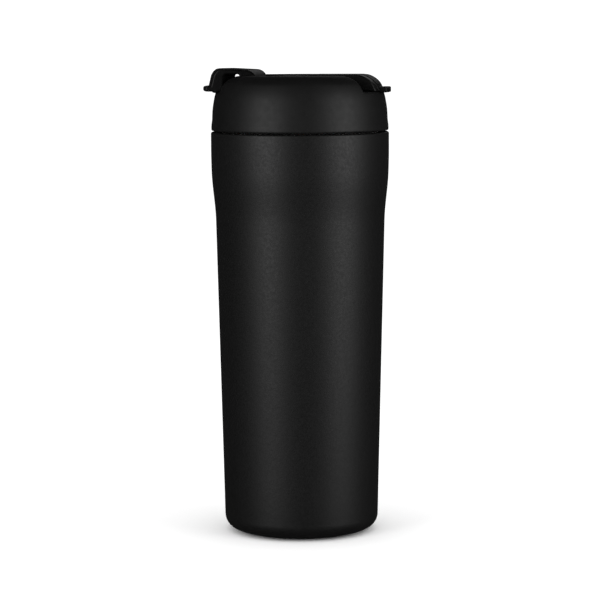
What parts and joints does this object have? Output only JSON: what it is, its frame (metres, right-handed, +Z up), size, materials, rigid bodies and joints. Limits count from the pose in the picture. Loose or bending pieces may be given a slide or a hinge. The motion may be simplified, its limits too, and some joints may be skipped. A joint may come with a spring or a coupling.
{
  "type": "insulated travel mug",
  "caption": "Double-walled vacuum travel mug with a swelled upper body, a screw-in domed lid, a flip lever over the drink hole and a fold-down carry loop.",
  "frame": {"origin": "on the mug's axis, at the surface that its base pad stands on", "axes": "+Z up along the mug's axis, +X towards the drinking side, -X towards the carry loop"},
  "size_m": [0.0821, 0.078, 0.2041],
  "materials": {
    "wall_coating": "matte black powder coat with a fine grain",
    "flask_steel": "electropolished stainless steel",
    "copper_foil": "bright copper-coloured foil",
    "base_steel": "pressed stainless steel",
    "port_braze": "dull braze metal",
    "getter_metal": "dull pressed metal",
    "pad_rubber": "matte black rubber",
    "gasket_silicone": "milky silicone",
    "lid_plastic": "matte black with a fine spark-eroded grain",
    "pin_steel": "ground stainless steel",
    "plug_plastic": "satin black moulded plastic",
    "insulation_foam": "cream rigid foam",
    "tube_plastic": "satin black moulded plastic",
    "lever_plastic": "satin black with a soft sheen",
    "seal_silicone": "dark grey silicone",
    "loop_plastic": "matte black with a fine grain"
  },
  "bodies": {
    "mug": {"outer_wall": "wall_coating", "inner_flask": "flask_steel", "heat_foil": "copper_foil", "base_disc": "base_steel", "port_seal": "port_braze", "getter_capsule": "getter_metal", "base_pad": "pad_rubber"},
    "gasket": {"lid_gasket": "gasket_silicone"},
    "lid": {"lid_shell": "lid_plastic", "spout_block": "lid_plastic", "hinge_cap": "lid_plastic", "lever_pin": "pin_steel", "loop_pin_front": "pin_steel", "loop_pin_back": "pin_steel", "lid_plug": "plug_plastic", "plug_cover": "plug_plastic", "lid_insulation": "insulation_foam", "drink_duct": "tube_plastic", "vent_tube": "tube_plastic"},
    "lever": {"flip_lever": "lever_plastic", "spout_seal": "seal_silicone", "vent_pad": "seal_silicone"},
    "loop": {"carry_loop": "loop_plastic"}
  },
  "joints": [
    {"name": "lid_lift", "type": "slide", "parent": "mug", "child": "gasket", "axis": [0, 0, 1], "range_m": [0, 0.03]},
    {"name": "lid_twist", "type": "hinge", "parent": "gasket", "child": "lid", "pos_m": [0, 0, 0.1769], "axis": [0, 0, 1], "range_deg": [0, 1080]},
    {"name": "lever_flip", "type": "hinge", "parent": "lid", "child": "lever", "pos_m": [0.004, 0, 0.1988], "axis": [0, -1, 0], "range_deg": [0, 100]},
    {"name": "loop_swing", "type": "hinge", "parent": "lid", "child": "loop", "pos_m": [-0.0205, 0, 0.1987], "axis": [0, 1, 0], "range_deg": [0, 100]}
  ],
  "couplings": [
    {"joint": "lid_twist", "follows": "lid_lift", "rad_per_m": 628.32}
  ]
}
